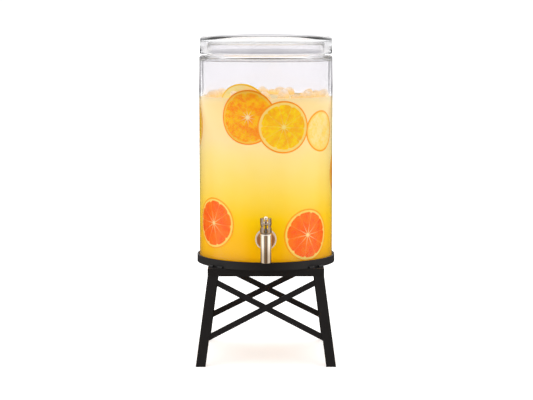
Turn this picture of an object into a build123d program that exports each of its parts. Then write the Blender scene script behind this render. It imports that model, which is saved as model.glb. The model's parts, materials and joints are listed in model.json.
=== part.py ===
"""Glass drink dispenser: a straight jar with a domed glass lid and a self-closing metal tap,
standing in a ring on a four-legged stand of angle iron and crossed flat bars.

Millimetres. +Z is up, the origin is on the floor under the jar's axis, the tap is at -Y.
"""
from build123d import *
from math import asin, atan, degrees, sqrt
import os

os.makedirs("parts", exist_ok=True)

# ------------------------------------------------------------------ driving dimensions
# Jar
jar_r = 110.0  # outside radius
jar_h = 340.5  # base to the flat shoulder
jar_wall = 4.0
jar_base = 6.5  # glass thickness of the base
jar_top = 5.0  # glass thickness of the shoulder
jar_base_round = 8.0
jar_shoulder_round = 4.5
shoulder_w = 13.5  # width of the flat shoulder round the neck
neck_wall = 4.7
neck_h = 18.5  # the neck's height above the shoulder
neck_round = 1.4
neck_root_round = 2.0
punt_inset = 44.0  # jar's edge to the shallow hollow under the base
punt_h = 1.8

# Lid
lid_overhang = -1.0  # lid radius less jar radius
lid_play = 2.0  # between the neck and the lid's skirt
skirt_gap = 2.3  # air between the skirt's lower edge and the shoulder
lid_top = 7.5  # glass over the lid's ceiling, at the edge
lid_dome = 4.0  # how much the dome rises from edge to middle
lid_round = 7.0
skirt_round = 2.5
ceiling_round = 2.0

# Gasket under the lid's ceiling
gasket_t = 5.0
gasket_play = 0.4

# Stand
jar_z = 157.0  # height of the seat that the jar and the ring stand on
ring_overhang = 20.15  # ring past the frame at the middle of a side
lean = 0.132  # sideways run of a leg for each millimetre of height
leg_w = 16.0
leg_t = 2.2
rail_w = 12.7
rail_t = 2.4
angle_root = 1.5  # root radius inside an angle section
angle_toe = 0.5  # toe and heel radius of an angle section
ring_play = 1.2  # between the jar and the ring
ring_h = 12.7
ring_t = 3.0
ring_edge = 0.5
brace_w = 9.5
brace_t = 3.0
brace_top_drop = 3.6  # rail's underside down to where a brace's centre line meets the leg
brace_foot_rise = 39.5  # floor up to where it meets the other leg
brace_gap = 0.5  # end of a brace to the brace round the corner
notch_play = 0.1  # where two braces are halved into each other
weld_r = 3.2
weld_len = 10.0

# Tap: the body, screwed through the jar's wall
tap_rise = 50.0  # shank axis above the jar's base
shank_r = 7.9
wall_hole_play = 0.6
shank_bore_r = 4.5
shank_fit = 0.05  # radial clearance of nut and washers on the shank
washer_band = 9.1  # width of the outer washer round the shank
washer_t = 2.5
collar_inset = 2.0  # washer showing round the collar
collar_t = 5.0
collar_round = 1.6
arm_r = 7.4
arm_len = 19.5  # collar's face to the column's axis
column_r = 9.2
column_up = 12.5  # shank axis to the column's shoulder
spout_r = 8.7
spout_down = 34.0  # shank axis to the spout's lip
spout_bore_r = 5.8
spout_round = 1.0
shoulder_round = 2.2
chamber_r = 6.3
chamber_down = 10.5  # shank axis to the valve seat
seat_hole_r = 4.0
seat_plate = 4.5
inner_washer_band = 7.1
inner_washer_t = 3.0
nut_wall = 4.1
nut_t = 7.0
shank_past_nut = 3.0

# Tap: the bonnet with the yoke that holds the lever
plug_h = 6.0
plug_fit = 0.05
yoke_h = 25.1
groove_up = 11.5  # shoulder to the groove round the yoke
groove_w = 2.0
groove_d = 1.0
slot_w = 7.0
slot_floor = 3.0  # shoulder to the slot's floor
yoke_round = 1.2
pivot_up = 17.0  # shoulder to the lever's pin
pivot_out = 6.0  # column axis to the lever's pin, towards the front
pin_r = 1.5
pin_fit = 0.05

# Tap: the valve
stem_r = 2.5
stem_fit = 0.06
stem_up = 8.5  # shoulder to the top of the stem's thick part
stem_neck_r = 1.4
stem_head_r = 2.6
stem_head_t = 2.0
flange_play = 1.3  # stem's flange to the chamber's wall
stem_flange_t = 1.5
peg_r = 1.5
peg_h = 3.0
seal_play = 0.7  # valve seal to the chamber's wall
seal_t = 4.0
oring_wire_r = 0.9
oring_up = -3.0  # shoulder to the middle of the stem's O-ring
spring_wire_r = 0.4
spring_play = 1.0  # coil's inside to the stem
spring_turns = 4.5

# Tap: the lever
hub_wall = 1.8
lever_play = 0.3  # each side of the lever's hub in the slot
rod_root_r = 2.6
rod_tip_r = 1.9
knob_play = 0.2  # ball to the slot's wall
knob_out = 14.5  # pin to the knob's centre, towards the front
knob_up = 10.2
prong_r = 1.2
prong_gap_r = 1.8
head_play = 0.3  # prong to the stem's head when shut

# ------------------------------------------------------------------ worked-out places
neck_r = jar_r - shoulder_w
punt_r = jar_r - punt_inset
shoulder_z = jar_z + jar_h
rim_z = shoulder_z + neck_h
ceiling_z = rim_z + gasket_t
lid_r = jar_r + lid_overhang
skirt_r = neck_r + lid_play
rail_bottom = jar_z - rail_w
ring_in = jar_r + ring_play
ring_out = ring_in + ring_t
rail_half = ring_out - ring_overhang
foot_half = rail_half + lean * rail_bottom
tap_z = jar_z + tap_rise
wall_hole_r = shank_r + wall_hole_play
washer_r = shank_r + washer_band
collar_r = washer_r - collar_inset
inner_washer_r = shank_r + inner_washer_band
nut_af = 2 * (shank_r + nut_wall)
collar_y = -(jar_r + washer_t)
column_y = collar_y - collar_t - arm_len
shoulder_up = tap_z + column_up
seat_z = tap_z - chamber_down
plug_bottom = shoulder_up - plug_h
nut_y = -(jar_r - jar_wall - inner_washer_t)
shank_end = nut_y + nut_t + shank_past_nut
pivot_y = column_y - pivot_out
pivot_z = shoulder_up + pivot_up
stem_flange_r = chamber_r - flange_play
spring_r = stem_r + spring_play + spring_wire_r
hub_r = pin_r + hub_wall
knob_r = slot_w / 2 - knob_play
column_axis = Axis((0, column_y, 0), (0, 0, 1))
sides = {"front": 0, "right": 90, "rear": 180, "left": 270}


def turned(plane, angle):
    """The plane turned about the jar's axis."""
    return Plane(
        origin=plane.origin.rotate(Axis.Z, angle),
        x_dir=plane.x_dir.rotate(Axis.Z, angle),
        z_dir=plane.z_dir.rotate(Axis.Z, angle),
    )


# ================================================================== the stand
# Ring of flat bar that keeps the jar from sliding off its seat.
with BuildPart() as stand_ring:
    with BuildSketch(Plane.XY.offset(jar_z)):
        Circle(ring_out)
        Circle(ring_in, mode=Mode.SUBTRACT)
    extrude(amount=ring_h)
    fillet(stand_ring.edges().group_by(Axis.Z)[-1], radius=ring_edge)
stand_ring.part.label = "stand_ring"
export_step(stand_ring.part, "parts/stand_ring.step")

# Weld beads between the ring and the rails that it crosses, one at each crossing.
bead_turn = degrees(asin(sqrt(ring_out**2 - (rail_half - rail_w / 2) ** 2) / ring_out))
bead_arc = degrees(weld_len / ring_out)
with BuildPart() as ring_welds:
    for side in sides.values():
        for crossing in (-bead_turn, bead_turn):
            start = side - 90 + crossing - bead_arc / 2
            with BuildSketch(turned(Plane.XZ, start)):
                with BuildLine():
                    foot = Line((ring_out, jar_z), (ring_out + weld_r, jar_z))
                    crown = CenterArc((ring_out, jar_z), weld_r, 0, 90)
                    Line(crown @ 1, foot @ 0)
                make_face()
            revolve(axis=Axis.Z, revolution_arc=bead_arc)
ring_welds.part.label = "ring_welds"
export_step(ring_welds.part, "parts/ring_welds.step")


# Square frame of four mitred angle bars, flange up, which the jar and the ring stand on.
def frame_rail(angle):
    section = turned(Plane(origin=(0, 0, 0), x_dir=(0, -1, 0), z_dir=(-1, 0, 0)), angle)
    mitre_a = turned(Plane(origin=(0, 0, 0), z_dir=(1, 1, 0)), angle)
    mitre_b = turned(Plane(origin=(0, 0, 0), z_dir=(-1, 1, 0)), angle)
    with BuildPart() as rail:
        with BuildSketch(section):
            with BuildLine():
                FilletPolyline(
                    (rail_half, jar_z),
                    (rail_half, rail_bottom),
                    (rail_half - rail_t, rail_bottom),
                    (rail_half - rail_t, jar_z - rail_t),
                    (rail_half - rail_w, jar_z - rail_t),
                    (rail_half - rail_w, jar_z),
                    radius=[angle_toe, 0, angle_toe, angle_root, angle_toe, angle_toe],
                    close=True,
                )
            make_face()
        extrude(amount=rail_half + rail_w, both=True)
        split(bisect_by=mitre_a, keep=Keep.BOTTOM)
        split(bisect_by=mitre_b, keep=Keep.BOTTOM)
    return rail.part


for side, angle in sides.items():
    name = f"frame_rail_{side}"
    rail = frame_rail(angle)
    rail.label = name
    export_step(rail, f"parts/{name}.step")


# Four splayed legs of angle iron, cut level at the floor and under the frame.
def leg(angle):
    base = turned(Plane.XY, angle)
    slope = Vector(-lean, lean, 1).rotate(Axis.Z, angle)
    with BuildPart() as post:
        with BuildSketch(base):
            with BuildLine():
                FilletPolyline(
                    (foot_half, -foot_half),
                    (foot_half, -foot_half + leg_w),
                    (foot_half - leg_t, -foot_half + leg_w),
                    (foot_half - leg_t, -foot_half + leg_t),
                    (foot_half - leg_w, -foot_half + leg_t),
                    (foot_half - leg_w, -foot_half),
                    radius=[angle_toe, angle_toe, angle_toe, angle_root, angle_toe, angle_toe],
                    close=True,
                )
            make_face()
        extrude(amount=rail_bottom * slope.length, dir=slope)
    return post.part


corners = {"front_right": 0, "rear_right": 90, "rear_left": 180, "front_left": 270}
for corner, angle in corners.items():
    name = f"leg_{corner}"
    post = leg(angle)
    post.label = name
    export_step(post, f"parts/{name}.step")

# Two flat-bar braces cross on each side, halved into each other and lying inside the legs'
# flanges. Their centre lines run from under the frame down to the opposite leg.
inner_half = foot_half - leg_t
top_height = rail_bottom - brace_top_drop
top_reach = inner_half - lean * top_height
foot_reach = inner_half - lean * brace_foot_rise
brace_slope = (top_height - brace_foot_rise) / (top_reach + foot_reach)
cross_z = brace_foot_rise + brace_slope * foot_reach
brace_angle = degrees(atan(brace_slope * sqrt(1 + lean**2)))
end_inset = brace_t + brace_gap


def brace(angle, rising):
    """rising is 1 for the bar that rises to the right seen from outside, -1 for the other."""
    face = turned(
        Plane(
            origin=(0, lean * cross_z - inner_half, cross_z),
            x_dir=(1, 0, 0),
            z_dir=(0, -1, lean),
        ),
        angle,
    )
    notch_face = face.offset(-brace_t / 2) if rising > 0 else face
    right_end = turned(Plane(origin=(inner_half - end_inset, 0, 0), z_dir=(1, 0, lean)), angle)
    left_end = turned(Plane(origin=(end_inset - inner_half, 0, 0), z_dir=(-1, 0, lean)), angle)
    with BuildPart() as bar:
        with BuildSketch(face):
            Rectangle(3 * foot_half, brace_w, rotation=rising * brace_angle)
        extrude(amount=-brace_t)
        with BuildSketch(notch_face):
            Rectangle(3 * foot_half, brace_w + 2 * notch_play, rotation=-rising * brace_angle)
        extrude(amount=-brace_t / 2, mode=Mode.SUBTRACT)
        split(bisect_by=right_end, keep=Keep.BOTTOM)
        split(bisect_by=left_end, keep=Keep.BOTTOM)
        split(bisect_by=Plane.XY.offset(rail_bottom), keep=Keep.BOTTOM)
    return bar.part


for side, angle in sides.items():
    for way, rising in (("rising", 1), ("falling", -1)):
        name = f"brace_{side}_{way}"
        bar = brace(angle, rising)
        bar.label = name
        export_step(bar, f"parts/{name}.step")

# ================================================================== the jar
# Straight glass jar with a flat shoulder, a short wide neck and a hole for the tap.
inner_r = jar_r - jar_wall
with BuildPart() as jar_glass:
    with BuildSketch(Plane.XZ):
        with BuildLine():
            outline = FilletPolyline(
                (0, jar_z + punt_h),
                (punt_r, jar_z + punt_h),
                (punt_r + 3 * punt_h, jar_z),
                (jar_r, jar_z),
                (jar_r, shoulder_z),
                (neck_r, shoulder_z),
                (neck_r, rim_z),
                (neck_r - neck_wall, rim_z),
                (neck_r - neck_wall, shoulder_z - jar_top),
                (inner_r, shoulder_z - jar_top),
                (inner_r, jar_z + jar_base),
                (0, jar_z + jar_base),
                radius=[
                    3 * punt_h,
                    2 * punt_h,
                    jar_base_round,
                    jar_shoulder_round,
                    neck_root_round,
                    neck_round,
                    neck_round,
                    neck_root_round,
                    jar_shoulder_round,
                    jar_base_round,
                ],
            )
            Line(outline @ 1, outline @ 0)
        make_face()
    revolve(axis=Axis.Z)
    with BuildSketch(Plane(origin=(0, -jar_r - 1, tap_z), x_dir=(1, 0, 0), z_dir=(0, -1, 0))):
        Circle(wall_hole_r)
    extrude(amount=-(jar_wall + 5), mode=Mode.SUBTRACT)
jar_glass.part.label = "jar_glass"
export_step(jar_glass.part, "parts/jar_glass.step")

# ================================================================== the lid
# Heavy glass cap: a skirt round the neck, a flat ceiling and a shallow dome on top.
edge_z = ceiling_z + lid_top
dome_r = (lid_r**2 + lid_dome**2) / (2 * lid_dome)
dome_mid = lid_r / 2
dome_mid_z = edge_z + lid_dome - (dome_r - sqrt(dome_r**2 - dome_mid**2))
with BuildPart() as lid_glass:
    with BuildSketch(Plane.XZ):
        with BuildLine():
            body = FilletPolyline(
                (0, ceiling_z),
                (skirt_r, ceiling_z),
                (skirt_r, shoulder_z + skirt_gap),
                (lid_r, shoulder_z + skirt_gap),
                (lid_r, edge_z),
                radius=[ceiling_round, skirt_round, skirt_round],
            )
            dome = ThreePointArc(body @ 1, (dome_mid, dome_mid_z), (0, edge_z + lid_dome))
            Line(dome @ 1, body @ 0)
        make_face()
    revolve(axis=Axis.Z)
    dome_edge = lid_glass.edges().filter_by(GeomType.CIRCLE).filter_by(
        lambda edge: abs(edge.radius - lid_r) < 0.01 and abs(edge.center().Z - edge_z) < 0.01
    )
    fillet(dome_edge, radius=lid_round)
lid_glass.part.label = "lid_glass"
export_step(lid_glass.part, "parts/lid_glass.step")

# Clear silicone gasket under the ceiling, which lands on the jar's rim.
with BuildPart() as lid_gasket:
    with BuildSketch(Plane.XY.offset(rim_z)):
        Circle(skirt_r - ceiling_round)
        Circle(neck_r - neck_wall - gasket_play, mode=Mode.SUBTRACT)
    extrude(amount=gasket_t)
lid_gasket.part.label = "lid_gasket"
export_step(lid_gasket.part, "parts/lid_gasket.step")

# ================================================================== the tap
# Cast and polished body: shank through the wall, collar, arm, valve chamber and spout.
lip_z = tap_z - spout_down
with BuildPart() as tap_body:
    with BuildSketch(Plane.XZ.offset(-column_y)):
        with BuildLine():
            column = FilletPolyline(
                (0, lip_z),
                (spout_r, lip_z),
                (spout_r, tap_z - spout_down / 2),
                (column_r, tap_z),
                (column_r, shoulder_up),
                (0, shoulder_up),
                radius=[spout_round, 4 * spout_r, 4 * spout_r, shoulder_round],
            )
            Line(column @ 1, column @ 0)
        make_face()
    revolve(axis=column_axis)
    with BuildSketch(Plane.YZ):
        with BuildLine():
            shank = FilletPolyline(
                (shank_end, tap_z),
                (shank_end, tap_z + shank_r),
                (collar_y, tap_z + shank_r),
                (collar_y, tap_z + collar_r),
                (collar_y - collar_t, tap_z + collar_r),
                (collar_y - collar_t, tap_z + arm_r),
                (column_y, tap_z + arm_r),
                (column_y, tap_z),
                radius=[spout_round, 0, 0, collar_round, collar_round, 0],
            )
            Line(shank @ 1, shank @ 0)
        make_face()
    revolve(axis=Axis((0, 0, tap_z), (0, 1, 0)))
    with BuildSketch(Plane.XY.offset(seat_z)):
        with Locations((0, column_y)):
            Circle(chamber_r)
    extrude(amount=shoulder_up - seat_z, mode=Mode.SUBTRACT)
    with BuildSketch(Plane.XY.offset(lip_z)):
        with Locations((0, column_y)):
            Circle(spout_bore_r)
    extrude(amount=seat_z - seat_plate - lip_z, mode=Mode.SUBTRACT)
    with BuildSketch(Plane.XY.offset(seat_z)):
        with Locations((0, column_y)):
            Circle(seat_hole_r)
    extrude(amount=-seat_plate, mode=Mode.SUBTRACT)
    with BuildSketch(Plane(origin=(0, shank_end, tap_z), x_dir=(1, 0, 0), z_dir=(0, -1, 0))):
        Circle(shank_bore_r)
    extrude(amount=shank_end - column_y, mode=Mode.SUBTRACT)
tap_body.part.label = "tap_body"
export_step(tap_body.part, "parts/tap_body.step")

# Bonnet: a plug that closes the chamber and a slotted yoke with a groove round it.
groove_z = shoulder_up + groove_up
yoke_top = shoulder_up + yoke_h
groove_half = groove_w / 2
stem_hole_r = stem_r + stem_fit
oring_r = stem_hole_r + oring_wire_r
with BuildPart() as tap_bonnet:
    with BuildSketch(Plane.XZ.offset(-column_y)):
        with BuildLine():
            yoke = FilletPolyline(
                (0, plug_bottom),
                (chamber_r - plug_fit, plug_bottom),
                (chamber_r - plug_fit, shoulder_up),
                (column_r - shoulder_round, shoulder_up),
                (column_r, shoulder_up + shoulder_round),
                (column_r, groove_z - groove_w),
                (column_r - groove_d, groove_z - groove_half),
                (column_r - groove_d, groove_z + groove_half),
                (column_r, groove_z + groove_w),
                (column_r, yoke_top),
                (0, yoke_top),
                radius=[0, 0, 0, groove_d, groove_d / 2, groove_d / 2, groove_d / 2, groove_d, yoke_round],
            )
            Line(yoke @ 1, yoke @ 0)
        make_face()
    revolve(axis=column_axis)
    with BuildSketch(Plane.XZ.offset(-column_y)):
        with Locations((0, shoulder_up + slot_floor)):
            Rectangle(slot_w, yoke_h, align=(Align.CENTER, Align.MIN))
    extrude(amount=2 * column_r, both=True, mode=Mode.SUBTRACT)
    with BuildSketch(Plane.XY.offset(plug_bottom)):
        with Locations((0, column_y)):
            Circle(stem_hole_r)
    extrude(amount=plug_h + slot_floor, mode=Mode.SUBTRACT)
    with BuildSketch(Plane.XY.offset(shoulder_up + oring_up - oring_wire_r)):
        with Locations((0, column_y)):
            Circle(oring_r + oring_wire_r)
    extrude(amount=2 * oring_wire_r, mode=Mode.SUBTRACT)
    with BuildSketch(Plane.YZ):
        with Locations((pivot_y, pivot_z)):
            Circle(pin_r)
    extrude(amount=column_r, both=True, mode=Mode.SUBTRACT)
tap_bonnet.part.label = "tap_bonnet"
export_step(tap_bonnet.part, "parts/tap_bonnet.step")

# O-ring that seals the stem in the bonnet.
with BuildPart() as stem_oring:
    with BuildSketch(Plane.XZ.offset(-column_y)):
        with Locations((oring_r, shoulder_up + oring_up)):
            Circle(oring_wire_r)
    revolve(axis=column_axis)
stem_oring.part.label = "stem_oring"
export_step(stem_oring.part, "parts/stem_oring.step")

# Silicone washer outside the wall, hollowed to the jar's curve.
washer_plane = Plane(origin=(0, collar_y, tap_z), x_dir=(1, 0, 0), z_dir=(0, 1, 0))
with BuildPart() as outer_washer:
    with BuildSketch(washer_plane):
        Circle(washer_r)
        Circle(shank_r + shank_fit, mode=Mode.SUBTRACT)
    extrude(amount=2 * washer_t)
    with BuildSketch(Plane.XY.offset(tap_z - washer_r)):
        Circle(jar_r)
    extrude(amount=2 * washer_r, mode=Mode.SUBTRACT)
outer_washer.part.label = "outer_washer"
export_step(outer_washer.part, "parts/outer_washer.step")

# Silicone washer inside the wall, rounded to the jar's inner curve.
with BuildPart() as inner_washer:
    with BuildSketch(Plane(origin=(0, nut_y, tap_z), x_dir=(1, 0, 0), z_dir=(0, -1, 0))):
        Circle(inner_washer_r)
        Circle(shank_r + shank_fit, mode=Mode.SUBTRACT)
    extrude(amount=inner_washer_t + jar_wall)
    with BuildSketch(Plane.XY.offset(tap_z - inner_washer_r)):
        Circle(inner_r)
    extrude(amount=2 * inner_washer_r, mode=Mode.INTERSECT)
inner_washer.part.label = "inner_washer"
export_step(inner_washer.part, "parts/inner_washer.step")

# Hexagon nut that clamps the tap from inside the jar.
with BuildPart() as tap_nut:
    with BuildSketch(Plane(origin=(0, nut_y, tap_z), x_dir=(1, 0, 0), z_dir=(0, 1, 0))):
        RegularPolygon(nut_af / 2, 6, major_radius=False)
        Circle(shank_r + shank_fit, mode=Mode.SUBTRACT)
    extrude(amount=nut_t)
    chamfer(tap_nut.edges().filter_by(GeomType.LINE).group_by(Axis.Y)[-1], length=0.8)
tap_nut.part.label = "tap_nut"
export_step(tap_nut.part, "parts/tap_nut.step")

# Valve stem: a peg for the seal, a flange for the spring, the rod, a neck and a head.
seal_top = seat_z + seal_t
stem_top = shoulder_up + stem_up
head_bottom = pivot_z + prong_r + head_play
with BuildPart() as valve_stem:
    with BuildSketch(Plane.XZ.offset(-column_y)):
        with BuildLine():
            Polyline(
                (0, seal_top - peg_h),
                (peg_r, seal_top - peg_h),
                (peg_r, seal_top),
                (stem_flange_r, seal_top),
                (stem_flange_r, seal_top + stem_flange_t),
                (stem_r, seal_top + stem_flange_t),
                (stem_r, stem_top - stem_r + stem_neck_r),
                (stem_neck_r, stem_top),
                (stem_neck_r, head_bottom),
                (stem_head_r, head_bottom),
                (stem_head_r, head_bottom + stem_head_t),
                (0, head_bottom + stem_head_t),
                close=True,
            )
        make_face()
    revolve(axis=column_axis)
valve_stem.part.label = "valve_stem"
export_step(valve_stem.part, "parts/valve_stem.step")

# Silicone seal that the stem presses on the seat.
with BuildPart() as valve_seal:
    with BuildSketch(Plane.XY.offset(seat_z)):
        with Locations((0, column_y)):
            Circle(chamber_r - seal_play)
    extrude(amount=seal_t)
    with BuildSketch(Plane.XY.offset(seal_top)):
        with Locations((0, column_y)):
            Circle(peg_r)
    extrude(amount=-peg_h, mode=Mode.SUBTRACT)
valve_seal.part.label = "valve_seal"
export_step(valve_seal.part, "parts/valve_seal.step")

# Spring between the stem's flange and the bonnet, which shuts the valve.
spring_low = seal_top + stem_flange_t + spring_wire_r
spring_high = plug_bottom - spring_wire_r
spring_pitch = (spring_high - spring_low) / spring_turns
with BuildPart() as valve_spring:
    with BuildLine():
        coil = Helix(
            pitch=spring_pitch,
            height=spring_high - spring_low,
            radius=spring_r,
            center=(0, column_y, spring_low),
        )
    with BuildSketch(Plane(origin=coil @ 0, z_dir=coil % 0)):
        Circle(spring_wire_r)
    sweep(is_frenet=True)
valve_spring.part.label = "valve_spring"
export_step(valve_spring.part, "parts/valve_spring.step")

# Lever: a hub on the pin, a round rod with a ball in front, and a fork under the stem's head.
reach = sqrt(knob_out**2 + knob_up**2)
ball_back = sqrt(knob_r**2 - rod_tip_r**2)
arm_plane = Plane(origin=(0, pivot_y, pivot_z), x_dir=(0, -knob_out, knob_up), z_dir=(1, 0, 0))
hub_half = slot_w / 2 - lever_play
with BuildPart() as tap_lever:
    with BuildSketch(Plane.YZ):
        with Locations((pivot_y, pivot_z)):
            Circle(hub_r)
    extrude(amount=hub_half, both=True)
    with BuildSketch(arm_plane):
        with BuildLine():
            rod = Polyline((0, 0), (0, rod_root_r), (reach - ball_back, rod_tip_r))
            ball = ThreePointArc(rod @ 1, (reach, knob_r), (reach + knob_r, 0))
            Line(ball @ 1, rod @ 0)
        make_face()
    revolve(axis=Axis(arm_plane.origin, arm_plane.x_dir))
    with BuildSketch(Plane.YZ):
        with Locations((pivot_y + pivot_out / 2, pivot_z)):
            SlotCenterToCenter(pivot_out, 2 * prong_r)
    extrude(amount=hub_half, both=True)
    with BuildSketch(Plane.XY.offset(pivot_z - prong_r)):
        with Locations((0, column_y)):
            Circle(prong_gap_r)
            Rectangle(2 * prong_gap_r, 2 * pivot_out, align=(Align.CENTER, Align.MIN))
    extrude(amount=2 * prong_r, mode=Mode.SUBTRACT)
    with BuildSketch(Plane.YZ):
        with Locations((pivot_y, pivot_z)):
            Circle(pin_r + pin_fit)
    extrude(amount=slot_w, both=True, mode=Mode.SUBTRACT)
tap_lever.part.label = "tap_lever"
export_step(tap_lever.part, "parts/tap_lever.step")

# Pin through the yoke's ears and the lever's hub.
pin_half = sqrt(column_r**2 - pivot_out**2)
with BuildPart() as lever_pin:
    with BuildSketch(Plane.YZ):
        with Locations((pivot_y, pivot_z)):
            Circle(pin_r)
    extrude(amount=pin_half, both=True)
lever_pin.part.label = "lever_pin"
export_step(lever_pin.part, "parts/lever_pin.step")

print(f"overall height {edge_z + lid_dome:.1f}, jar inside {inner_r:.1f} radius")
print(f"valve lift {pivot_out:.1f} mm per radian of lever, pin {pivot_y:.1f}, {pivot_z:.1f}")
print(f"brace slope {brace_slope:.3f}, crossing at {cross_z:.1f}, spout lip {lip_z:.1f}")
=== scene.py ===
# %% [markdown]
# # A glass drink dispenser on a braced iron stand
#
# The stand, the jar, the lid and the tap come from the CAD model, in place and to size. This
# lesson gives them their finishes, models the glass again with smooth surfaces, and fills the jar
# with a citrus drink, fruit and ice. Every length is in metres.

# %% Load the frame
import json
import math
import random
import bmesh
import bpy
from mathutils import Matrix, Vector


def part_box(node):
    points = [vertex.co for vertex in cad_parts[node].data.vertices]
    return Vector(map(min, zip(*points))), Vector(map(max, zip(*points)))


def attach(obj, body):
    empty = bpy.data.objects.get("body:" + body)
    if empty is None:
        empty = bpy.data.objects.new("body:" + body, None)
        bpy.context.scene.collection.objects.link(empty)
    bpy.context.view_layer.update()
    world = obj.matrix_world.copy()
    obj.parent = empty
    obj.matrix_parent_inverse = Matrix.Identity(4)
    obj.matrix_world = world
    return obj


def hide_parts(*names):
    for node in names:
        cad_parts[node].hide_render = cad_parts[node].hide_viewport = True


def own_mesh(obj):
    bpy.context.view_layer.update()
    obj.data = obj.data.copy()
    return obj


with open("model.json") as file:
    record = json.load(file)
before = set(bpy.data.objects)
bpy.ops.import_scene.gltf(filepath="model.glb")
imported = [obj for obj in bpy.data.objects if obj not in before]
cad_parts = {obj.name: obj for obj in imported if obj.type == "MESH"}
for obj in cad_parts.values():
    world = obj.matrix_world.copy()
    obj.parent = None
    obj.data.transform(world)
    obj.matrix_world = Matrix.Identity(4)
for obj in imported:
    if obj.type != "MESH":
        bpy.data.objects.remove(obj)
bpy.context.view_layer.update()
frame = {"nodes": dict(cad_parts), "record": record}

# %% [markdown]
# ## Sizes of the jar
#
# Outer radii and heights are read from the CAD node's box, so the new glass can't drift away from
# the model. A box can't tell how thick the glass is, so each thickness is a named value.

# %% Sizes of the jar
MM = 0.001
jar_wall = 4.0 * MM
floor_thickness = 6.5 * MM
shoulder_width = 13.5 * MM
shoulder_thickness = 5.0 * MM
neck_wall = 4.7 * MM
neck_height = 18.5 * MM

jar_low, jar_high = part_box("jar_glass")
jar_r = jar_high.x
jar_inner_r = jar_r - jar_wall
jar_floor = jar_low.z + floor_thickness
neck_r = jar_r - shoulder_width
neck_inner_r = neck_r - neck_wall
rim_z = jar_high.z
shoulder_z = rim_z - neck_height
shoulder_under_z = shoulder_z - shoulder_thickness
print("jar", round(jar_r, 4), "shoulder", round(shoulder_z, 4), "rim", round(rim_z, 4))


# %% [markdown]
# ## The jar
#
# The jar is one shell of glass. Its real shape matters more than its finish: light bends at both
# walls, and the corners gather it. A profile could be spun round the axis, but a disc that is
# pushed along the profile keeps every ring whole, with no seam to close. It starts as a drum.
#
# Operators act on all that is selected, so each piece starts with everything deselected.

# %% The jar's drum
def start_clean():
    if bpy.context.mode != "OBJECT":
        bpy.ops.object.mode_set(mode="OBJECT")
    bpy.ops.object.select_all(action="DESELECT")


def take(piece):
    start_clean()
    piece.select_set(True)
    bpy.context.view_layer.objects.active = piece


def added(name):
    """Names the primitive that was just added."""
    piece = bpy.context.object
    piece.name = name
    piece.data.name = name
    return piece


def settle(piece):
    """Writes the piece's place, turn and size into its mesh."""
    take(piece)
    bpy.ops.object.transform_apply(location=True, rotation=True, scale=True)


round_steps = 192
start_clean()
bpy.ops.mesh.primitive_cylinder_add(
    vertices=round_steps, radius=jar_r, depth=shoulder_z - jar_low.z,
    location=(0, 0, (shoulder_z + jar_low.z) / 2),
)
jar = added("jar")
settle(jar)
print("drum:", len(jar.data.polygons), "faces")


# %% [markdown]
# The disc on top of the drum is pushed along the jar's profile: in over the shoulder, up the
# neck, over the rim, and down the inside to the floor. Each step is what the E, S and G keys do
# by hand: extrude, scale about the axis, and move.

# %% The jar's profile
def pick_faces(piece, test):
    """Selects, in edit mode, the faces for which test(face) is true."""
    bpy.ops.mesh.select_all(action="DESELECT")
    bpy.ops.mesh.select_mode(type="FACE")
    mesh = bmesh.from_edit_mesh(piece.data)
    for face in mesh.faces:
        face.select_set(test(face))
    bmesh.update_edit_mesh(piece.data)


def faces_up(face):
    return face.normal.z > 0.9


def faces_down(face):
    return face.normal.z < -0.9


def next_ring(now, radius, height):
    """Extrudes the selected disc to a new radius and height. now is its (radius, height)."""
    bpy.ops.mesh.extrude_region_move()
    share = radius / now[0]
    bpy.ops.transform.resize(value=(share, share, 1), center_override=(0, 0, now[1]))
    bpy.ops.transform.translate(value=(0, 0, height - now[1]))
    return radius, height


bpy.ops.object.mode_set(mode="EDIT")
pick_faces(jar, faces_up)
ring = jar_r, shoulder_z
for radius, height in (
    (neck_r, shoulder_z),
    (neck_r, rim_z),
    (neck_inner_r, rim_z),
    (neck_inner_r, shoulder_under_z),
    (jar_inner_r, shoulder_under_z),
    (jar_inner_r, jar_floor),
):
    ring = next_ring(ring, radius, height)
print("inside: radius", round(ring[0], 4), "from a floor at", round(ring[1], 4))


# %% [markdown]
# Under the base is a punt, the shallow hollow that lets glass stand on a ring and not rock on a
# flat. It is two more steps of a disc. Then every corner gets the soft radius that hot glass
# takes. Each ring of edges is found by its radius and height and bevelled on its own, because a
# Bevel modifier would give them all one size.

# %% Punt and rounded corners
def pick_ring(piece, radius, height, reach=0.05 * MM):
    """Selects, in edit mode, the ring of edges about Z with this radius and height."""
    bpy.ops.mesh.select_all(action="DESELECT")
    bpy.ops.mesh.select_mode(type="EDGE")
    mesh = bmesh.from_edit_mesh(piece.data)
    for edge in mesh.edges:
        edge.select_set(all(
            abs(vert.co.z - height) < reach and abs(vert.co.xy.length - radius) < reach
            for vert in edge.verts
        ))
    bmesh.update_edit_mesh(piece.data)


def round_rings(piece, corners):
    """Bevels rings of edges. A corner is (radius, height, bevel size, segments)."""
    for radius, height, size, steps in corners:
        pick_ring(piece, radius, height)
        bpy.ops.mesh.bevel(offset=size, segments=steps, affect="EDGES")
    print(piece.name, "has", len(corners), "rounded corners")


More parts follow.
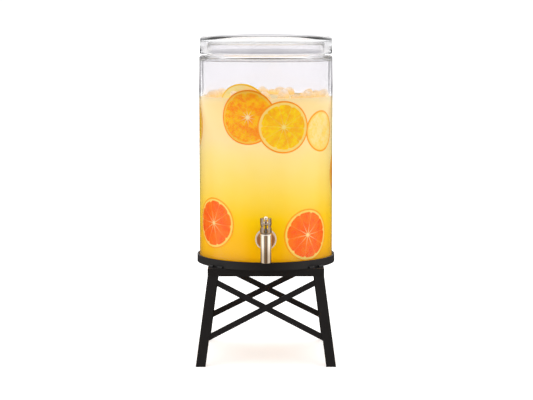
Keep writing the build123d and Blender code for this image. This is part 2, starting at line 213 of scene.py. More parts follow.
punt_r = jar_r - 44 * MM
punt_h = 1.8 * MM
punt_slope = 3
floor_corner = 8 * MM
pick_faces(jar, lambda face: faces_down(face) and face.calc_center_median().z < jar_floor - MM)
ring = next_ring((jar_r, jar_low.z), punt_r + punt_slope * punt_h, jar_low.z)
next_ring(ring, punt_r, jar_low.z + punt_h)
round_rings(jar, (
    (jar_r, jar_low.z, floor_corner, 6),
    (jar_r, shoulder_z, 4.5 * MM, 6),
    (neck_r, shoulder_z, 2 * MM, 6),
    (neck_r, rim_z, 1.4 * MM, 6),
    (neck_inner_r, rim_z, 1.4 * MM, 6),
    (neck_inner_r, shoulder_under_z, 2 * MM, 6),
    (jar_inner_r, shoulder_under_z, 4.5 * MM, 6),
    (jar_inner_r, jar_floor, floor_corner, 6),
    (punt_r, jar_low.z + punt_h, 3 * MM, 6),
))


# %% [markdown]
# The tap's hole is drilled through the finished jar, so it is cut the same way, with a plain rod
# and a Boolean. Two level cuts above and below it keep the long wall faces from being pulled out
# of line by the hole.

# %% Hole for the tap
def modify(piece, kind, **settings):
    """Adds a modifier and applies it."""
    take(piece)
    modifier = piece.modifiers.new(kind.lower(), kind)
    for key, value in settings.items():
        setattr(modifier, key, value)
    bpy.ops.object.modifier_apply(modifier=modifier.name)


def smooth(piece, angle=35):
    take(piece)
    bpy.ops.object.shade_smooth_by_angle(angle=math.radians(angle))


hole_r = 8.5 * MM
rod_length = 30 * MM
cut_offset = 12 * MM
nut_low, nut_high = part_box("tap_nut")
tap_z = (nut_low.z + nut_high.z) / 2
for height in (tap_z - cut_offset, tap_z + cut_offset):
    bpy.ops.mesh.select_all(action="SELECT")
    bpy.ops.mesh.bisect(plane_co=(0, 0, height), plane_no=(0, 0, 1))
bpy.ops.object.mode_set(mode="OBJECT")
start_clean()
bpy.ops.mesh.primitive_cylinder_add(
    vertices=48, radius=hole_r, depth=rod_length,
    location=(0, -jar_r, tap_z), rotation=(math.pi / 2, 0, 0),
)
rod = added("hole_rod")
modify(jar, "BOOLEAN", operation="DIFFERENCE", object=rod, solver="EXACT")
bpy.data.objects.remove(rod)
smooth(jar)
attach(jar, "jar")
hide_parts("jar_glass")
print("jar:", len(jar.data.polygons), "faces, hole at height", round(tap_z, 4))

# %% [markdown]
# ## The lid
#
# The lid is a heavy pressed cap that drops over the neck. Its top is a shallow dome. A slice of a
# sphere would give the dome but not the rim, so the disc is drawn in by steps that follow a
# circle, and its underside is pushed up to leave the skirt.

# %% Lid
lid_low, lid_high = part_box("lid_glass")
lid_r = lid_high.x
skirt_gap = 2.0 * MM
skirt_r = neck_r + skirt_gap
ceiling_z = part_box("lid_gasket")[1].z
dome_rise = 4.0 * MM
dome_steps = 14
dome_r = (lid_r ** 2 + dome_rise ** 2) / (2 * dome_rise)
edge_z = lid_high.z - dome_rise
start_clean()
bpy.ops.mesh.primitive_cylinder_add(
    vertices=round_steps, radius=lid_r, depth=edge_z - lid_low.z,
    location=(0, 0, (edge_z + lid_low.z) / 2),
)
lid = added("lid")
settle(lid)
bpy.ops.object.mode_set(mode="EDIT")
pick_faces(lid, faces_down)
ring = next_ring((lid_r, lid_low.z), skirt_r, lid_low.z)
next_ring(ring, skirt_r, ceiling_z)
pick_faces(lid, faces_up)
ring = lid_r, edge_z
for step in range(1, dome_steps):
    radius = lid_r * (1 - step / dome_steps)
    ring = next_ring(ring, radius, lid_high.z - dome_r + math.sqrt(dome_r ** 2 - radius ** 2))
bpy.ops.mesh.extrude_region_move()
bpy.ops.mesh.merge(type="CENTER")
round_rings(lid, (
    (lid_r, edge_z, 6.5 * MM, 10),
    (lid_r, lid_low.z, 2.5 * MM, 6),
    (skirt_r, lid_low.z, 2.5 * MM, 6),
    (skirt_r, ceiling_z, 2 * MM, 6),
))
bpy.ops.object.mode_set(mode="OBJECT")
smooth(lid)
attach(lid, "lid")
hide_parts("lid_glass")
print("lid:", len(lid.data.polygons), "faces")

# %% [markdown]
# ## The drink
#
# Cloudy juice touches the glass, so it seems to fill the jar to its outer edge. A fluid
# simulation would only come to rest as a drum, so a drum it is. Its mesh reaches a little way
# into the wall, which leaves no film of air between them, and its skin climbs the glass in a
# small meniscus.

# %% Drink
drink_z = 0.4315
drink_r = jar_inner_r + 0.3 * MM
# how far each ring of the meniscus lies inwards from the glass, and how far below the top
meniscus = (1.2 * MM, 1.0 * MM), (4 * MM, 1.7 * MM), (9 * MM, 1.9 * MM)
start_clean()
bpy.ops.mesh.primitive_cylinder_add(
    vertices=128, radius=drink_r, depth=drink_z - jar_floor,
    location=(0, 0, (drink_z + jar_floor) / 2),
)
drink = added("drink")
settle(drink)
bpy.ops.object.mode_set(mode="EDIT")
pick_faces(drink, faces_up)
ring = drink_r, drink_z
for inwards, drop in meniscus:
    ring = next_ring(ring, drink_r - inwards, drink_z - drop)
round_rings(drink, ((drink_r, jar_floor, floor_corner, 5),))
bpy.ops.object.mode_set(mode="OBJECT")
smooth(drink)
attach(drink, "jar")
print("drink:", len(drink.data.polygons), "faces")


# %% [markdown]
# ## Citrus slices
#
# A slice has a rind, a ring of pith and about ten segments with thin skins between them. An image
# on a disc would look flat at its edge, so one slice is modelled and then copied. It is a flat
# drum whose faces are inset for rind and pith, and whose segments are then inset one by one and
# raised, so that the skins stay as low grooves.

# %% One slice
segments = 10
steps_per_segment = 6
slice_r = 40 * MM
slice_t = 5 * MM
rind_width = 1.8 * MM
pith_width = 2.6 * MM
skin_width = 0.7 * MM
flesh_r = slice_r - 5 * MM


def turn_of(point):
    return math.atan2(point.z, point.x) % math.tau


start_clean()
bpy.ops.mesh.primitive_cylinder_add(
    vertices=segments * steps_per_segment, radius=slice_r, depth=slice_t,
    end_fill_type="TRIFAN", rotation=(math.pi / 2, 0, 0),
)
model_slice = added("model_slice")
settle(model_slice)
bpy.ops.object.mode_set(mode="EDIT")
for way in (-1, 1):
    pick_faces(model_slice, lambda face: face.normal.y * way > 0.9)
    bpy.ops.mesh.inset(thickness=rind_width, depth=0.15 * MM)
    bpy.ops.mesh.inset(thickness=pith_width, depth=-0.1 * MM)
    for number in range(segments):
        begin = number * math.tau / segments
        end = begin + math.tau / segments
        pick_faces(
            model_slice,
            lambda face: face.normal.y * way > 0.9
            and face.calc_center_median().xz.length < flesh_r
            and len(face.verts) == 3
            and begin < turn_of(face.calc_center_median()) < end,
        )
        bpy.ops.mesh.inset(thickness=skin_width, depth=0.2 * MM)
bpy.ops.mesh.select_all(action="SELECT")
bpy.ops.mesh.subdivide(number_cuts=2)
bpy.ops.object.mode_set(mode="OBJECT")
print("one slice:", len(model_slice.data.polygons), "faces")

# %% [markdown]
# The fruit's pattern has to follow a slice through every turn and bend, and a pattern in Object
# coordinates would stay behind. So the flat slice gets a UV map laid on its face, which every
# copy carries along.

# %% A map for the fruit's pattern
flat_map = model_slice.data.uv_layers.new(name="fruit")
for loop in model_slice.data.loops:
    point = model_slice.data.vertices[loop.vertex_index].co
    flat_map.data[loop.index].uv = (point.x / slice_r / 2 + 0.5, point.z / slice_r / 2 + 0.5)
for layer in [layer for layer in model_slice.data.uv_layers if layer.name != "fruit"]:
    model_slice.data.uv_layers.remove(layer)
modify(model_slice, "SUBSURF", levels=1, render_levels=1)
layer_names = [layer.name for layer in model_slice.data.uv_layers]
print("one slice:", len(model_slice.data.polygons), "faces, maps", layer_names)


# %% [markdown]
# The slices lie against the glass and take its curve. Each copy is turned, sized, bent with the
# Bend modifier, and then carried out to its place: an angle round the jar, a height and how far
# out its face lies. A rigid body simulation could drop them in, but not where they are wanted.
# Six are near the front, and five more at the sides and the back fill the other views.

# %% Place the slices
# name, kind, degrees to the right of the front, height, radius, face's distance in mm, turn
fruit_places = [
    ("slice_top_left", "orange", -15.6, 0.4010, 0.0437, 106.9, 12),
    ("slice_top_right", "golden", 15.4, 0.3855, 0.0417, 107.6, 40),
    ("slice_top_behind", "lemon", -23.5, 0.4115, 0.0425, 98.0, 75),
    ("slice_right", "pale", 55.0, 0.3770, 0.0335, 106.9, 20),
    ("slice_low_left", "blood", -51.0, 0.2280, 0.0415, 106.9, 5),
    ("slice_low_right", "blood", 38.8, 0.2108, 0.0425, 106.9, 28),
    ("slice_back_low", "blood", 128.0, 0.2500, 0.0400, 106.9, 50),
    ("slice_back_high", "orange", 166.0, 0.3800, 0.0410, 106.9, 15),
    ("slice_back_mid", "golden", 215.0, 0.3100, 0.0400, 106.9, 66),
    ("slice_side_low", "orange", 95.0, 0.3050, 0.0390, 106.9, 33),
    ("slice_side_left", "golden", 268.0, 0.3830, 0.0390, 106.9, 80),
]


def copy_of(piece, name):
    """A new object with its own copy of the piece's mesh."""
    twin = bpy.data.objects.new(name, piece.data.copy())
    twin.data.name = name
    bpy.context.collection.objects.link(twin)
    return twin


slices = []
for name, kind, angle, height, size, face, turn in fruit_places:
    piece = copy_of(model_slice, name)
    piece.rotation_euler = (0, math.radians(turn), 0)
    piece.scale = (size / slice_r, 1, size / slice_r)
    settle(piece)
    bend_r = face * MM
    width = piece.dimensions.x
    modify(piece, "SIMPLE_DEFORM", deform_method="BEND", deform_axis="Z", angle=width / bend_r)
    front = min(vert.co.y for vert in piece.data.vertices)
    piece.location = (0, -bend_r - front, 0)
    settle(piece)
    piece.rotation_euler = (0, 0, math.radians(angle))
    piece.location = (0, 0, height)
    settle(piece)
    smooth(piece, 60)
    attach(piece, "jar")
    slices.append((piece, kind))
    reach = max(vert.co.xy.length for vert in piece.data.vertices)
    print(name, "reaches", round(reach / MM, 2), "mm from the axis")
bpy.data.objects.remove(model_slice)

# %% [markdown]
# ## Ice
#
# Crushed ice floats at the surface, stained by the juice. Each lump is a small ball, squashed, and
# the lumps are scattered thickly along the glass and more thinly towards the middle. Steps of the
# golden angle spread them evenly round the jar, and a fixed seed gives the same ice each time.

# %% Lumps of ice
random.seed(7)
lump_count = 46
golden_angle = 2.399963
lumps = []
for number in range(lump_count):
    along = number * golden_angle
    out = jar_inner_r * (0.95 - 0.6 * random.random() ** 2.0)
    size = random.uniform(6.0, 12.0) * MM
    out = min(out, jar_inner_r - size)
    start_clean()
    bpy.ops.mesh.primitive_ico_sphere_add(
        subdivisions=3, radius=size,
        location=(
            out * math.sin(along), out * math.cos(along), drink_z + random.uniform(-3.5, 2.5) * MM,
        ),
        rotation=(random.uniform(0, 3), random.uniform(0, 3), random.uniform(0, 3)),
    )
    bpy.context.object.scale = (1, random.uniform(0.75, 1), random.uniform(0.6, 0.8))
    lumps.append(bpy.context.object)
print(len(lumps), "lumps of ice")

# %% [markdown]
# Left as balls, the lumps would look like marbles. Wet ice melts together, so they are joined and
# made one skin by a voxel Remesh. A Displace modifier then chips the skin, and a light Smooth
# takes the voxels' steps away.

# %% One skin of ice
voxel = 1.3 * MM
chip_depth = 2.2 * MM
start_clean()
for lump in lumps:
    lump.select_set(True)
bpy.context.view_layer.objects.active = lumps[0]
bpy.ops.object.join()
ice = added("ice")
settle(ice)
modify(ice, "REMESH", mode="VOXEL", voxel_size=voxel)
chips = bpy.data.textures.new("chips", "VORONOI")
chips.noise_scale = 0.011
modify(ice, "DISPLACE", texture=chips, texture_coords="LOCAL", strength=chip_depth, mid_level=0.5)
modify(ice, "SMOOTH", factor=0.5, iterations=2)
smooth(ice, 180)
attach(ice, "jar")
print("ice:", len(ice.data.polygons), "faces")

# %% [markdown]
# ## The valve's spring
#
# Inside the tap a small coil pushes the valve shut. The CAD spring moves with the valve, but its
# top really rests against the bonnet. Moving a whole spring would push it into the bonnet, and here
# a copy of it, with its doubled points merged, rides on the valve whole.

# %% Spring
joints = frame["record"]["behaviour"]["joints"]
valve_travel = next(joint["range_m"][1] for joint in joints if joint["name"] == "valve_rise")
spring_low, spring_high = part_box("valve_spring")
spring_length = spring_high.z - spring_low.z
spring = copy_of(frame["nodes"]["valve_spring"], "spring")
take(spring)
bpy.ops.object.mode_set(mode="EDIT")
bpy.ops.mesh.select_all(action="SELECT")
bpy.ops.mesh.remove_doubles(threshold=0.001 * MM)
bpy.ops.object.mode_set(mode="OBJECT")
smooth(spring, 30)
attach(spring, "valve")
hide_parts("valve_spring")
(spring_length - valve_travel) / spring_length
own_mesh(spring)
print("spring:", len(spring.data.polygons), "faces,", round(spring_length / MM, 2), "mm long")


# %% [markdown]
# ## Writing materials as sums
#
# A finish is a handful of formulas. They could be built by hand in the Shader Editor, but a sum is
# easier to read and to change. Wire wraps a socket so that `1 - grain * 0.2` adds the Math nodes
# it needs.

# %% Wires
class Wire:
    """A socket that can be written into sums."""

    def __init__(self, nodes, socket):
        self.nodes = nodes
        self.socket = socket

    def __add__(self, other):
        return self.nodes.maths("ADD", self, other)

    def __radd__(self, other):
        return self.nodes.maths("ADD", other, self)

    def __sub__(self, other):
        return self.nodes.maths("SUBTRACT", self, other)

    def __rsub__(self, other):
        return self.nodes.maths("SUBTRACT", other, self)

    def __mul__(self, other):
        return self.nodes.maths("MULTIPLY", self, other)

    def __rmul__(self, other):
        return self.nodes.maths("MULTIPLY", other, self)

    def __truediv__(self, other):
        return self.nodes.maths("DIVIDE", self, other)

    def __rtruediv__(self, other):
        return self.nodes.maths("DIVIDE", other, self)


# %% [markdown]
# Every node comes from one method, node, which takes its type, its settings and what goes into
# its sockets. Nodes holds that method and short names for the nodes that are used most. Both the
# materials and the sky are built with it.

# %% Nodes
class Nodes:
    """A node tree and the ways to add to it."""

    def __init__(self, tree):
        self.tree = tree

    def connect(self, socket, value):
        if isinstance(value, Wire):
            self.tree.links.new(value.socket, socket)
        elif socket.type == "RGBA":
            socket.default_value = (*value, 1)
        else:
            socket.default_value = value

    def node(self, kind, settings=None, sockets=None, output=0):
        node = self.tree.nodes.new(kind)
        for key, value in (settings or {}).items():
            if key == "stops":
                self.fill(node.color_ramp, value)
            else:
                setattr(node, key, value)
        for key, value in (sockets or {}).items():
            self.connect(node.inputs[key], value)
        return Wire(self, node.outputs[output])

    def fill(self, ramp, stops):
        while len(ramp.elements) < len(stops):
            ramp.elements.new(1)
        for element, (place, colour) in zip(ramp.elements, stops):
            element.position = place
            element.color = (*colour, 1)

    def maths(self, operation, *values):
        return self.node("ShaderNodeMath", {"operation": operation}, dict(enumerate(values)))

    def part(self, vector, axis):
        """The X, Y or Z of a vector."""
        return self.node("ShaderNodeSeparateXYZ", sockets={0: vector}, output=axis)

    def between(self, value, low, high, step="SMOOTHSTEP"):
        """0 below low and 1 above high, with a soft step between."""
        return self.node(
            "ShaderNodeMapRange", {"interpolation_type": step},
            {"Value": value, "From Min": low, "From Max": high},
        )

    def ramp(self, value, stops):
        return self.node("ShaderNodeValToRGB", {"stops": stops}, {0: value})

    def mix(self, share, first, second):
        """A colour between two, by share."""
        return self.node(
            "ShaderNodeMix", {"data_type": "RGBA"}, {0: share, 6: first, 7: second}, output=2,
        )


# %% [markdown]
# A Finish is a material with its own nodes. Patterns read Object coordinates, in metres,
# so that a grain keeps its size on a long bar and on a small pin.

# %% Finishes
class Finish(Nodes):
    """A material and the nodes that make its finish."""

    def __init__(self, name):
        self.material = bpy.data.materials.new(name)
        self.material.use_nodes = True
        super().__init__(self.material.node_tree)
        self.shader = self.tree.nodes["Principled BSDF"]

    def place(self):
        return self.node("ShaderNodeTexCoord", output="Object")

    def noise(self, scale, detail=2.0, rough=0.5, vector=None):
        return self.node("ShaderNodeTexNoise", sockets={
            "Vector": vector or self.place(), "Scale": scale, "Detail": detail, "Roughness": rough,
        })

    def bump(self, height, distance, strength=1.0):
        return self.node(
            "ShaderNodeBump", sockets={"Height": height, "Distance": distance, "Strength": strength}
        )

    def set(self, **values):
        """Sets the shader's sockets; an underscore stands for a space."""
        for key, value in values.items():
            name = key.replace("_", " ").title().replace("Ior", "IOR")
            self.connect(self.shader.inputs[name], value)


def grey(level):
    return level, level, level


def cover(piece, finish):
    """Gives a new piece the finish."""
    piece.data.materials.clear()
    piece.data.materials.append(finish.material)
    print(finish.material.name, "on", piece.name)


def dress(nodes, finish):
    """Gives CAD nodes the finish."""
    for name in nodes:
        for slot in frame["nodes"][name].material_slots:
            slot.material = finish.material
    print(finish.material.name, "on", ", ".join(nodes))


# %% [markdown]
# ## Glass
#
# Soda-lime glass is clear across a thin wall and grey along it. Absorption in the volume darkens
# the thick corners by itself. It can't draw the thin dark line down each side of the empty wall
# without dimming the whole jar, so that line is painted shade: Layer Weight paints the base colour
# near black where the glass turns away, above the drink and below the shoulder only. The glass
# above the drink is also painted a darker grey than in front of it, as painted shade.

# %% Glass
def glass(name, density, tint):
    finish = Finish(name)
    finish.set(
        base_color=grey(0.985), roughness=0.0, ior=1.5, transmission_weight=1.0,
        specular_tint=grey(0.45),
    )
    absorb = finish.node(
        "ShaderNodeVolumeAbsorption", sockets={"Color": tint, "Density": density},
    )
    finish.connect(finish.tree.nodes["Material Output"].inputs["Volume"], absorb)
    return finish


jar_glass = glass("jar glass", 5.0, (0.60, 0.66, 0.68))
drink_blend = 10 * MM
shoulder_blend = 3 * MM
facing = jar_glass.node("ShaderNodeLayerWeight", sockets={"Blend": 0.5}, output="Facing")
above = jar_glass.part(jar_glass.place(), "Z")
head = jar_glass.between(above, drink_z - drink_blend, drink_z + drink_blend)
# painted shade: the thin dark line along the glass's turning edges, above the drink
painted_edge_shade = jar_glass.between(facing, 0.745, 0.77) * head
painted_edge_shade = painted_edge_shade * (1 - jar_glass.between(above, shoulder_z - shoulder_blend, shoulder_z))
# painted shade: the glass above the drink is painted a darker grey than in front of it
tint = jar_glass.mix(head, (0.93, 0.925, 0.93), (0.79, 0.78, 0.80))
jar_glass.set(base_color=jar_glass.mix(painted_edge_shade, tint, (0.02, 0.016, 0.026)))
cover(jar, jar_glass)
cover(lid, glass("lid glass", 1.0, (0.60, 0.68, 0.80)))

# %% [markdown]
# ## Juice
#
# The juice is cloudiest and palest under the ice and deepens to amber at the bottom, where the
# pulp has settled. The colour follows the height, with slow drifts so that the bands aren't even.
# A scattering volume would carry light through the juice, but it renders slowly and with much
# noise, so the juice is a surface that gives out a little light of its own instead.

# %% Juice
juice = Finish("citrus juice")
drift = juice.noise(14, 3, 0.55)
level = (juice.part(juice.place(), "Z") - jar_floor) / (drink_z - jar_floor)
juice_colour = juice.ramp(level + (drift - 0.5) * 0.12, [
    (0.000, (0.93, 0.46, 0.0005)),
    (0.065, (0.95, 0.53, 0.0005)),
    (0.155, (0.97, 0.58, 0.0005)),
    (0.274, (0.98, 0.66, 0.004)),
    (0.394, (0.97, 0.72, 0.090)),
    (0.510, (0.96, 0.75, 0.185)),
    (0.630, (0.96, 0.78, 0.290)),
    (0.750, (0.95, 0.78, 0.410)),
    (0.960, (0.98, 0.77, 0.370)),
    (1.000, (0.97, 0.79, 0.450)),
])
juice.set(
    base_color=juice_colour, roughness=0.5, ior=1.34, specular_ior_level=0.05,
    emission_color=juice_colour, emission_strength=0.28,
)
cover(drink, juice)

# %% [markdown]
# ## Fruit
#
# Oranges, golden and pale ones, lemons and blood oranges differ in colour, in how thick their
# pith is and in how much light they pass on, which here is a painted glow, but not in how they
# are built. So each kind is a set of values, and one formula serves them all.

# %% Kinds of fruit
# pith_from, rind_from and star_to are shares of the slice's radius: where the pith and the rind
# begin, and how far the pale rays reach from the middle. glow is the strength of a painted glow,
# light the slice gives out of its own in place of the light that shines through.
citrus = {
    "orange": {
        "rind": (0.93, 0.30, 0.001), "pith": (0.98, 0.60, 0.07), "flesh": (0.96, 0.26, 0.002),
        "flecks": (1.00, 0.58, 0.006), "middle": (1.00, 0.86, 0.50),
        "pith_from": 0.89, "rind_from": 0.935, "star_to": 0.32, "glow": 0.20,
    },
    "golden": {
        "rind": (0.93, 0.34, 0.001), "pith": (0.98, 0.74, 0.22), "flesh": (0.91, 0.45, 0.001),
        "flecks": (1.00, 0.70, 0.001), "middle": (0.98, 0.80, 0.25),
        "pith_from": 0.85, "rind_from": 0.930, "star_to": 0.30, "glow": 0.20,
    },
    "lemon": {
        "rind": (0.97, 0.60, 0.02), "pith": (0.98, 0.80, 0.30), "flesh": (0.98, 0.80, 0.20),
        "flecks": (0.98, 0.84, 0.40), "middle": (1.00, 0.86, 0.45),
        "pith_from": 0.84, "rind_from": 0.930, "star_to": 0.30, "glow": 0.48,
    },
    "pale": {
        "rind": (0.95, 0.40, 0.005), "pith": (0.98, 0.72, 0.18), "flesh": (0.98, 0.72, 0.12),
        "flecks": (0.98, 0.80, 0.34), "middle": (1.00, 0.84, 0.40),
        "pith_from": 0.84, "rind_from": 0.905, "star_to": 0.30, "glow": 0.26,
    },
    "blood": {
        "rind": (0.95, 0.42, 0.001), "pith": (0.99, 0.76, 0.16), "flesh": (0.97, 0.115, 0.0005),
        "flecks": (1.00, 0.22, 0.001), "middle": (1.00, 0.82, 0.36),
        "pith_from": 0.87, "rind_from": 0.930, "star_to": 0.55, "glow": 0.24,
    },
}
print(len(citrus), "kinds of fruit")


# %% [markdown]
# The pattern is worked out from the slice's own flat map: distance from the middle gives rind,
# pith and flesh, and the turn round the middle gives the segments. Juice sacs are a stretched
# cell pattern that points outwards. A painted image would do too, but this one stays sharp at any
# distance, and its noise makes no two segments alike.

# %% Fruit
def fruit(kind):
    look = citrus[kind]
    finish = Finish(f"{kind} slice")
    spot = finish.node("ShaderNodeUVMap", {"uv_map": "fruit"})
    # the map runs from 0 to 1, and centred from -1 to 1
    centred = finish.node(
        "ShaderNodeVectorMath", {"operation": "MULTIPLY_ADD"},
        {0: spot, 1: (2, 2, 0), 2: (-1, -1, 0)},
    )
    away = finish.node("ShaderNodeVectorMath", {"operation": "LENGTH"}, {0: centred}, "Value")
    across = finish.part(centred, "X")
    along = finish.part(centred, "Y")
    turn = finish.maths("ARCTAN2", along, across) / math.tau + 1.0
    wobble = finish.noise(70, 3, 0.6) - 0.5
    # wedge is 0 on a skin and a half in the middle of a segment
    wedge = finish.maths("PINGPONG", turn * segments + wobble * 0.12, 0.5)
    skin = 1 - finish.between(wedge * away, 0.004, 0.035)
    star = skin * (1 - finish.between(away, 0.06, look["star_to"]))
    heart = 1 - finish.between(away + wobble * 0.06, 0.05, 0.10)
    outwards = finish.node("ShaderNodeCombineXYZ", sockets={0: turn * 52, 1: away * 6, 2: 0.0})
    sacs = finish.node(
        "ShaderNodeTexVoronoi", {"feature": "DISTANCE_TO_EDGE"},
        {"Vector": outwards, "Scale": 1.0}, "Distance",
    )
    grain = finish.between(sacs, 0.0, 0.25)
    blotches = finish.between(finish.noise(90, 6, 0.75), 0.40, 0.60)
    colour = finish.mix(blotches, look["flesh"], look["flecks"])
    colour = finish.mix((1 - grain) * 0.30, colour, look["flecks"])
    colour = finish.mix(skin * 0.22, colour, look["pith"])
    colour = finish.mix(star * 0.8, colour, look["middle"])
    colour = finish.mix(heart, colour, look["middle"])
    edge = look["pith_from"] - 0.045 * (1 - finish.between(wedge, 0.0, 0.16)) + wobble * 0.06
    ring_pith = finish.between(away - edge, -0.012, 0.012)
    ring_rind = finish.between(away, look["rind_from"], look["rind_from"] + 0.025)
    colour = finish.mix(ring_rind, finish.mix(ring_pith, colour, look["pith"]), look["rind"])
    pores = finish.noise(1800, 2, 0.5)
    relief = grain * 0.6 + pores * ring_rind * 0.5
    # painted glow: the slice gives out light of its own, in place of light passing through it
    finish.set(
        base_color=colour, roughness=0.30 + 0.2 * ring_rind, ior=1.36, specular_ior_level=0.06,
        normal=finish.bump(relief, 0.4 * MM, 0.5), emission_color=colour,
        emission_strength=look["glow"],
    )
    return finish


fruits = {kind: fruit(kind) for kind in citrus}
for piece, kind in slices:
    cover(piece, fruits[kind])

# %% [markdown]
# ## Ice finish
#
# Wet ice lets light through, and here it has drawn up the juice: creamy white on top and orange
# where it sits in the drink. Clear ice is lit through the drink round it, and this drink is
# opaque, so the ice is mostly milky, with a wet, uneven surface and a little light of its own.

# %% Ice finish
stained_depth = 14 * MM
wet_ice = Finish("stained ice")
ice_level = (wet_ice.part(wet_ice.place(), "Z") - drink_z) / stained_depth
ice_colour = wet_ice.ramp(ice_level + (wet_ice.noise(120, 3) - 0.5) * 0.9, [
    (0.0, (0.97, 0.72, 0.30)), (0.35, (0.96, 0.79, 0.52)), (0.75, (0.98, 0.92, 0.84)),
])
wet_ice.set(
    base_color=ice_colour, roughness=0.10 + 0.12 * wet_ice.noise(300, 2), ior=1.31,
    transmission_weight=0.25, emission_color=ice_colour, emission_strength=0.36,
    normal=wet_ice.bump(wet_ice.noise(260, 3), 0.5 * MM, 0.5),
)
cover(ice, wet_ice)

# %% [markdown]
# ## Tap finish
#
# The tap is polished nickel with a warm cast and the faint haze that wiping leaves. A plain
# mirror would look too new, so the haze varies the roughness, with fine streaks that run round
# the tap: a noise squeezed along the height. The spout is painted darker low down, a painted
# shade for the dark reflection there, and the collar by the jar is coloured a brownish orange.

# %% Tap finish
# heights between which the painted shade on the lower spout fades out
spout_shade_heights = 0.182, 0.206
collar_y = -0.1225, -0.119
nickel = Finish("polished nickel")
haze = nickel.noise(90, 4, 0.6)
squeezed = nickel.node(
    "ShaderNodeVectorMath", {"operation": "MULTIPLY"}, {0: nickel.place(), 1: (1, 1, 14)},
)
wipe = nickel.noise(55, 3, 0.6, squeezed)
# painted shade: the spout is painted darker low down, for the dark reflection there
painted_spout_shade = 1 - nickel.between(nickel.part(nickel.place(), "Z"), *spout_shade_heights)
# the collar by the jar is coloured a brownish orange
collar_orange = nickel.between(nickel.part(nickel.place(), "Y"), *collar_y)
plated = nickel.mix(haze, (0.86, 0.80, 0.71), (0.76, 0.67, 0.56))
# the dark colour painted as shade on the lower spout
plated = nickel.mix(painted_spout_shade * 0.8, plated, (0.40, 0.31, 0.22))
nickel.set(
    base_color=nickel.mix(collar_orange * 0.85, plated, (0.50, 0.22, 0.07)), metallic=1.0,
    roughness=0.07 + 0.10 * haze * wipe,
    normal=nickel.bump(nickel.noise(700, 2), 0.02 * MM, 0.3),
)
dress(["tap_body", "tap_lever", "tap_nut"], nickel)

# %% [markdown]
# The yoke's nickel is painted dark as painted shade for its grooves and slot. The pin, the stem
# and the spring are bright stainless steel with a fine grain, and they have no warm cast.

# %% Nickel painted with shade, and steel
# painted shade: the yoke's nickel is painted dark for the shadows in its grooves and slot
shaded_nickel = Finish("shade-painted nickel")
mottle = shaded_nickel.noise(140, 4, 0.6)
shaded_nickel.set(
    base_color=shaded_nickel.mix(mottle, (0.36, 0.28, 0.22), (0.24, 0.18, 0.13)), metallic=1.0,
    roughness=0.10 + 0.14 * mottle, normal=shaded_nickel.bump(shaded_nickel.noise(700, 2), 0.03 * MM, 0.3),
)
dress(["tap_bonnet"], shaded_nickel)

steel = Finish("bright steel")
steel.set(
    base_color=grey(0.62), metallic=1.0, roughness=0.22 + 0.12 * steel.noise(500, 3),
    normal=steel.bump(steel.noise(1500, 2), 0.02 * MM, 0.3),
)
dress(["lever_pin", "valve_stem"], steel)
cover(spring, steel)

# %% [markdown]
# ## Rubber and silicone
#
# The washers are milky silicone, a soft white that lets a little light in. The ring under the lid
# is clear silicone, and the stem's seal ring is black rubber. A subsurface shader would be truer
# to the milky one, but a quarter of transmission renders faster and will do for rings this small.

# %% Rubber and silicone
milky = Finish("milky silicone")
milky.set(
    base_color=milky.mix(milky.noise(160, 3), (0.88, 0.86, 0.80), (0.80, 0.76, 0.68)),
    roughness=0.38 + 0.1 * milky.noise(900, 2), transmission_weight=0.25, ior=1.41,
    normal=milky.bump(milky.noise(1200, 2), 0.03 * MM, 0.3),
)
dress(["outer_washer", "inner_washer", "valve_seal"], milky)

clear = Finish("clear silicone")
clear.set(
    base_color=grey(0.95), roughness=0.18 + 0.1 * clear.noise(400, 2), transmission_weight=0.95,
    ior=1.41, normal=clear.bump(clear.noise(300, 2), 0.05 * MM, 0.3),
)
dress(["lid_gasket"], clear)

black = Finish("nitrile rubber")
black.set(base_color=grey(0.02), roughness=0.5 + 0.1 * black.noise(900, 2))
dress(["stem_oring"], black)

# %% [markdown]
# ## Stand finish
#
# The stand is mild steel under a satin powder coat. Powder melts into a skin with a fine
# orange-peel surface, which would be far too small to model and is a bump here. Soft patches of
# roughness keep the long bars from looking like plastic. The record says which nodes are coated.

# %% Stand finish
coat = Finish("satin black coat")
peel = coat.noise(620, 3, 0.5)
patches = coat.noise(26, 4, 0.6)
coat.set(
    base_color=coat.mix(patches, (0.0045, 0.0035, 0.0038), (0.010, 0.0085, 0.0085)),
    roughness=0.40 + 0.14 * patches, specular_ior_level=0.25,
    normal=coat.bump(peel, 0.12 * MM, 0.35),
)
subparts = frame["record"]["subparts"]
dress([part["node"] for part in subparts if part["material_slot"] == "black_iron"], coat)

# %% [markdown]
# ## Floor
#
# A white ground that runs to the horizon is a very large plane. Glossy rays don't see it, so that
# the tap keeps its dark stripes and doesn't mirror a white floor.

# %% Floor
floor_size = 900
start_clean()
bpy.ops.mesh.primitive_plane_add(size=floor_size, location=(0, 0, 0))
floor = added("floor")
white_ground = Finish("pale floor")
white_ground.set(
    base_color=grey(0.93), roughness=0.8, specular_ior_level=0.1, emission_color=grey(1.0),
    emission_strength=0.3,
)
cover(floor, white_ground)
floor.visible_glossy = False

# %% [markdown]
# ## Light
#
# Clear glass shows what stands round it, so the studio is drawn for the glass. Lamps would leave
# hard spots in it, and the sky is painted instead. It dips just above the horizon and then
# brightens with height, and it is darker in front, as a room behind the camera is. Below the
# horizon it has bright panels towards both sides and is dark behind and dim in front, which the
# curved metal draws out into stripes.

# %% Light
world = bpy.data.worlds.new("studio")
world.use_nodes = True
bpy.context.scene.world = world
sky = Nodes(world.node_tree)
way = sky.node("ShaderNodeTexCoord", output="Generated")
way_x, way_y, way_z = (sky.part(way, axis) for axis in "XYZ")
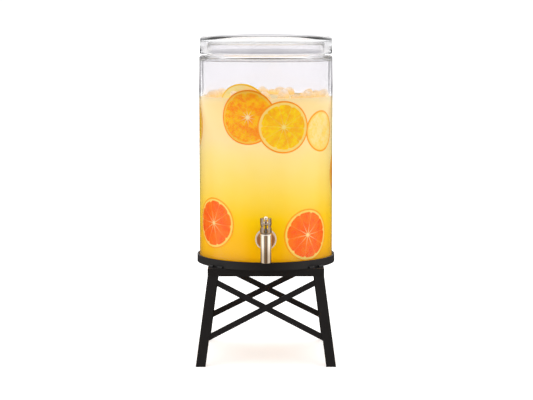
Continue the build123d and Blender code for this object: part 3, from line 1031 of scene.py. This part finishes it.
# round_share is 0 straight in front of the object, a quarter at each side and a half behind it
round_share = sky.maths("ABSOLUTE", sky.maths("ARCTAN2", way_x, way_y * -1.0) / math.tau)
low_panels = sky.ramp(round_share, [
    (0.0, (0.38, 0.27, 0.17)), (0.012, (0.34, 0.23, 0.14)), (0.03, (0.12, 0.085, 0.06)),
    (0.07, (0.10, 0.07, 0.05)), (0.13, (0.90, 0.87, 0.82)), (0.24, (1.0, 0.98, 0.95)),
    (0.30, (0.30, 0.26, 0.22)), (0.38, (0.07, 0.06, 0.06)), (0.5, (0.05, 0.05, 0.05)),
])
high_light = sky.ramp(way_z, [
    (0.0, (0.72, 0.72, 0.72)), (0.015, (0.70, 0.70, 0.70)), (0.04, (0.50, 0.50, 0.52)),
    (0.14, (0.56, 0.55, 0.56)), (0.35, (0.85, 0.84, 0.83)), (0.75, (1.0, 0.99, 0.98)),
])
dark_room = sky.ramp(round_share, [(0.0, grey(1)), (0.07, grey(1)), (0.10, grey(0))])
dark_band = sky.ramp(way_z, [(0.02, grey(0)), (0.06, grey(1)), (0.55, grey(1)), (0.65, grey(0))])
high_light = sky.mix(dark_room * dark_band, high_light, grey(0.26))
upward = sky.between(way_z, -0.03, -0.018, "LINEAR")
background = sky.tree.nodes["Background"]
sky.connect(background.inputs["Color"], sky.mix(upward, low_panels, high_light))
background.inputs["Strength"].default_value = 1.5
print("sky:", len(sky.tree.nodes), "nodes")

# %% [markdown]
# ## Camera
#
# A long lens from two and a half metres away keeps the jar's sides nearly upright. Light crosses
# many surfaces of glass, so it is allowed more bounces than usual: with too few, a false black
# line shows in the lid. The Standard view keeps the white ground white.

# %% Camera
camera_distance = 2.6077
camera_height = 0.551
camera_aside = 0.001
camera_tilt = 0.112
start_clean()
bpy.ops.object.camera_add(
    location=(camera_aside, -camera_distance, camera_height),
    rotation=(math.pi / 2 - camera_tilt, 0, 0),
)
camera = bpy.context.object
camera.data.sensor_width = 36
camera.data.lens = 106.64
camera.data.clip_end = 1000
scene = bpy.context.scene
scene.camera = camera
scene.view_settings.view_transform = "Standard"
scene.cycles.max_bounces = 24
scene.cycles.glossy_bounces = 16
scene.cycles.transmission_bounces = 20
print("camera", camera_distance, "m in front, lens", round(camera.data.lens, 2), "mm")
